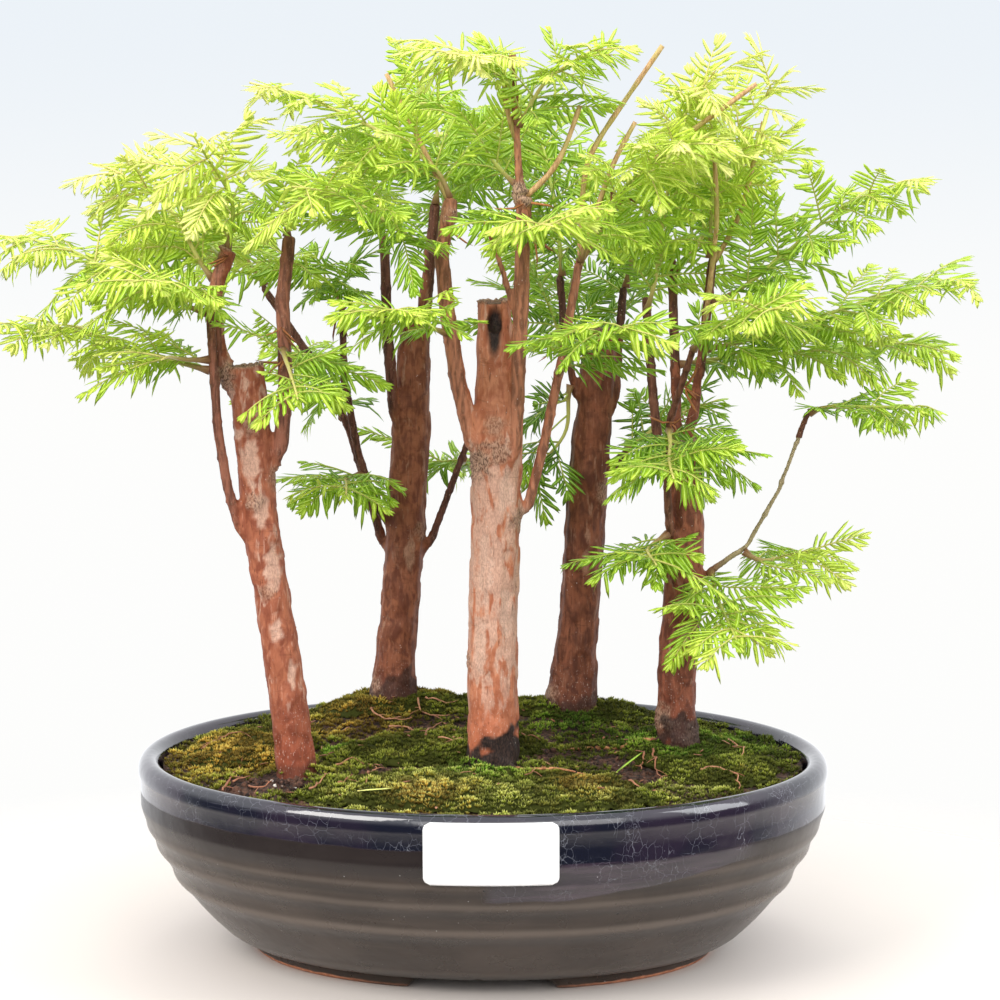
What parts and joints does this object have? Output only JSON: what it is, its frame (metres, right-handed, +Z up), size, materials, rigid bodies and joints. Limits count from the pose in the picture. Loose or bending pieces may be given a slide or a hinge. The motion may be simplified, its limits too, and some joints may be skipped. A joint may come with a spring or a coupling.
{
  "type": "dawn redwood bonsai forest",
  "caption": "Forest planting of upright dawn redwoods with feathery needle sprays, on mossy soil in a low oval glazed tray with a plain blank label.",
  "frame": {"origin": "middle of the planting's footprint seen from above, at the height of the table under the tray's feet", "axes": "+X to the viewer's right along the tray's long side, +Y away from the viewer, +Z up"},
  "size_m": [0.37, 0.225, 0.3614],
  "materials": {
    "glazed_stoneware": "gloss, fine pale crackle on the rim, satin body",
    "plastic_mesh": "matte",
    "label_paper": "satin, blank",
    "soil": "matte, crumbly",
    "moss": "matte, short tufts",
    "bark": "matte, flaking",
    "needles": "satin leaf"
  },
  "bodies": {
    "root": {"tray": "glazed_stoneware", "label": "label_paper", "drainage_screen_left": "plastic_mesh", "drainage_screen_right": "plastic_mesh", "soil": "soil", "moss_front": "moss", "moss_left": "moss", "moss_middle": "moss", "moss_back_left": "moss", "moss_back_right": "moss", "moss_right": "moss", "tree_left_front": "bark", "tree_left_back": "bark", "tree_centre": "bark", "tree_right_back": "bark", "tree_right_front": "bark", "spray_left_front_1": "needles", "spray_left_front_2": "needles", "spray_left_front_3": "needles", "spray_left_front_4": "needles", "spray_left_front_5": "needles", "spray_left_front_6": "needles", "spray_left_front_7": "needles", "spray_left_front_8": "needles", "spray_left_front_9": "needles", "spray_left_back_1": "needles", "spray_left_back_2": "needles", "spray_left_back_3": "needles", "spray_left_back_4": "needles", "spray_left_back_5": "needles", "spray_left_back_6": "needles", "spray_left_back_7": "needles", "spray_left_back_8": "needles", "spray_centre_1": "needles", "spray_centre_2": "needles", "spray_centre_3": "needles", "spray_centre_4": "needles", "spray_centre_5": "needles", "spray_centre_6": "needles", "spray_centre_7": "needles", "spray_centre_8": "needles", "spray_centre_9": "needles", "spray_right_back_1": "needles", "spray_right_back_2": "needles", "spray_right_back_3": "needles", "spray_right_back_4": "needles", "spray_right_back_5": "needles", "spray_right_back_6": "needles", "spray_right_front_1": "needles", "spray_right_front_2": "needles", "spray_right_front_3": "needles", "spray_right_front_4": "needles", "spray_right_front_5": "needles", "spray_right_front_6": "needles", "spray_right_front_7": "needles", "spray_right_front_8": "needles", "spray_right_front_9": "needles", "spray_right_front_10": "needles", "spray_right_front_11": "needles", "spray_right_front_12": "needles"}
  },
  "joints": []
}
